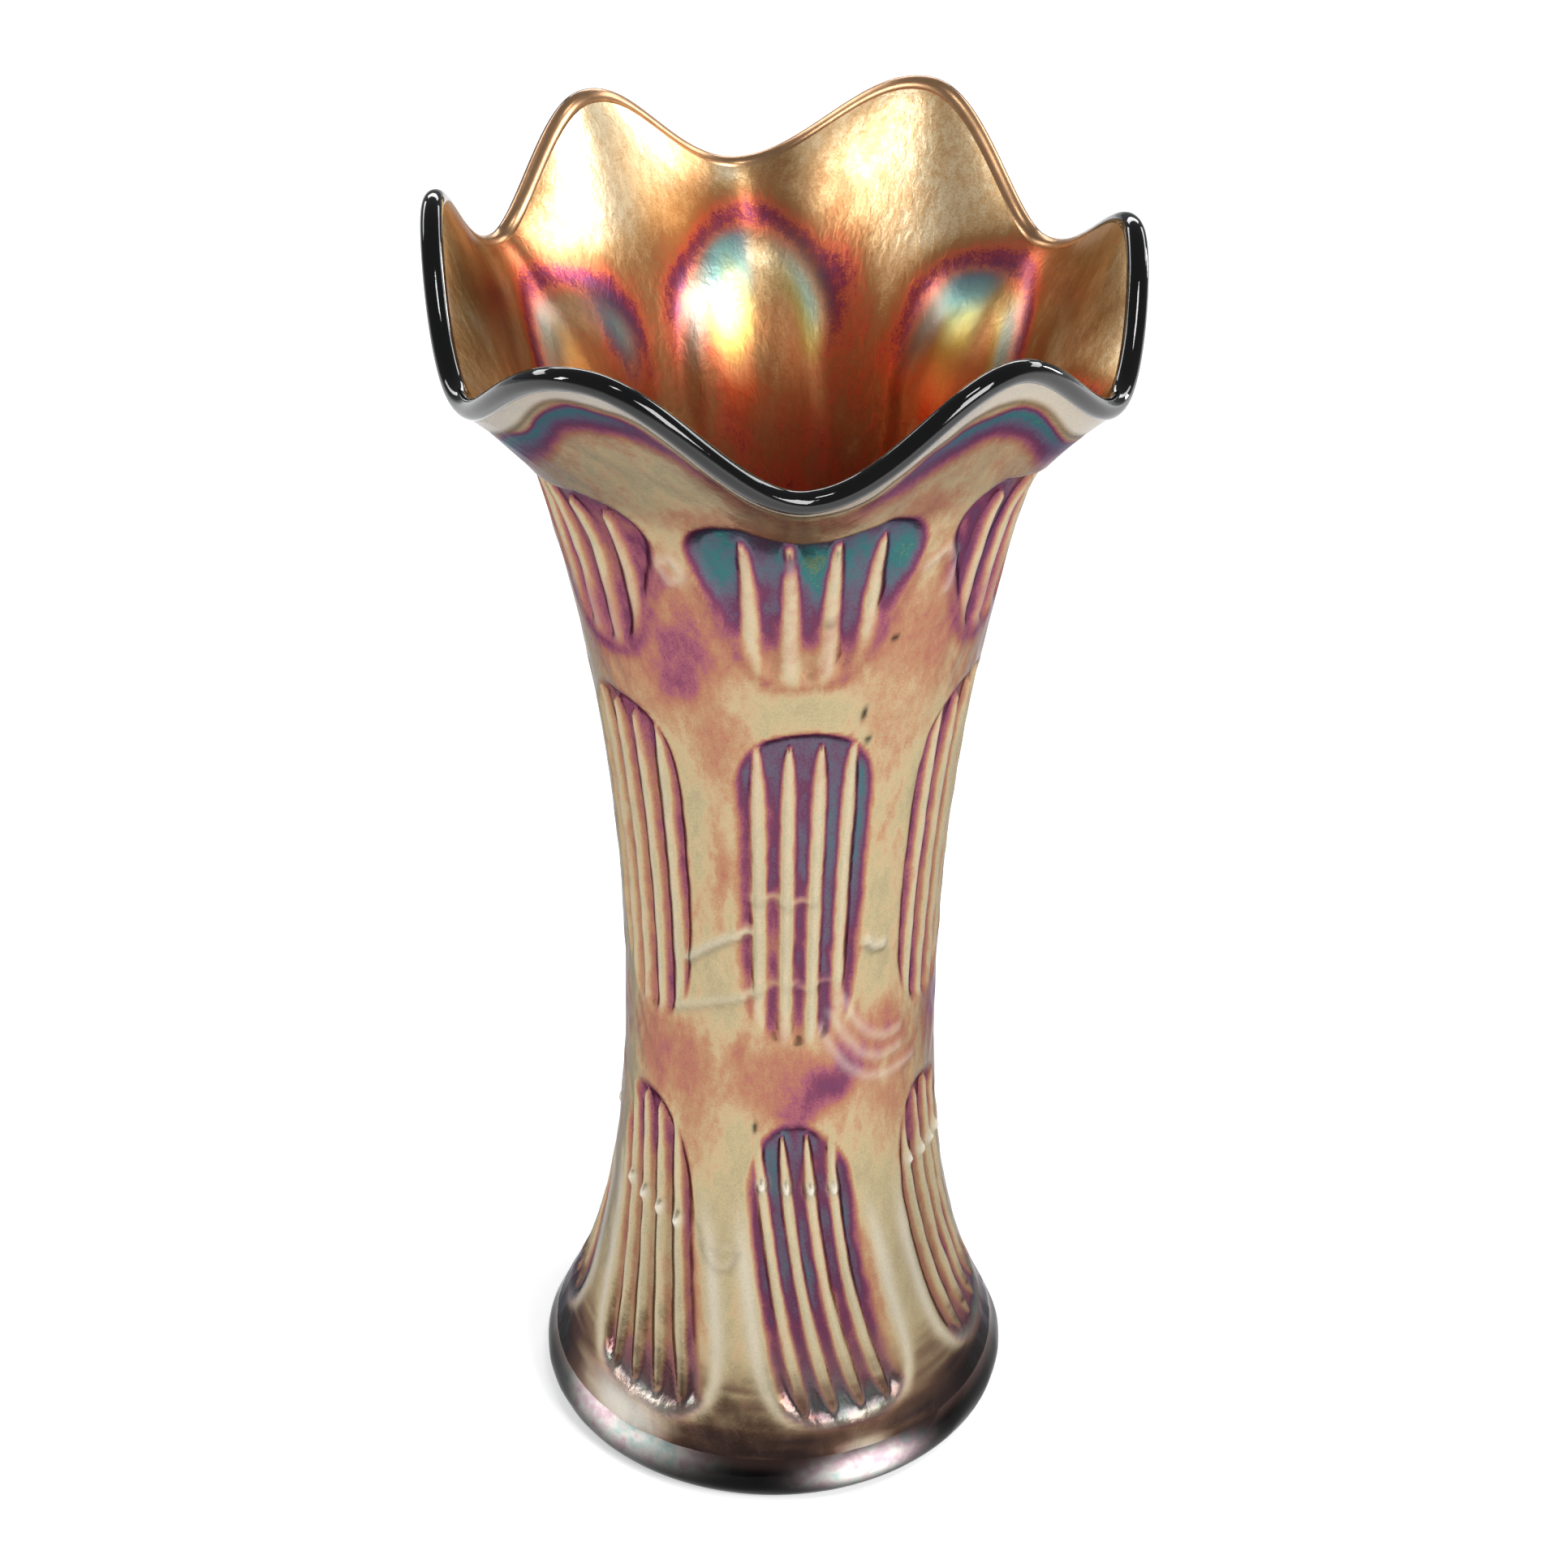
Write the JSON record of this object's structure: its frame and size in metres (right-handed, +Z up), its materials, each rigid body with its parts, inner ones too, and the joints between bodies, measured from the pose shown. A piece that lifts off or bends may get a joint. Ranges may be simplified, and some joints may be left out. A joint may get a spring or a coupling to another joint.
{
  "type": "ruffled glass vase",
  "caption": "Tall waisted glass vase with a solid round foot, moulded ribbed panels, and a flared mouth with a wavy beaded lip; holds flowers.",
  "frame": {"origin": "centre of the ring that the vase stands on, under the foot", "axes": "+Z up through the mouth, -Y towards the front of the vase"},
  "size_m": [0.1198, 0.1362, 0.2529],
  "materials": {
    "foot_glass": "dark amethyst glass, polished, faint rainbow lustre",
    "body_lustre": "dark amethyst glass under a pale gold metallic lustre with violet and teal fringes",
    "mouth_lustre": "dark amethyst glass under a gold lustre outside and a copper lustre inside",
    "lip_glass": "bare fire-polished near-black amethyst glass"
  },
  "bodies": {
    "root": {"foot": "foot_glass", "body": "body_lustre", "ruffled_mouth": "mouth_lustre", "lip_bead": "lip_glass"}
  },
  "joints": []
}
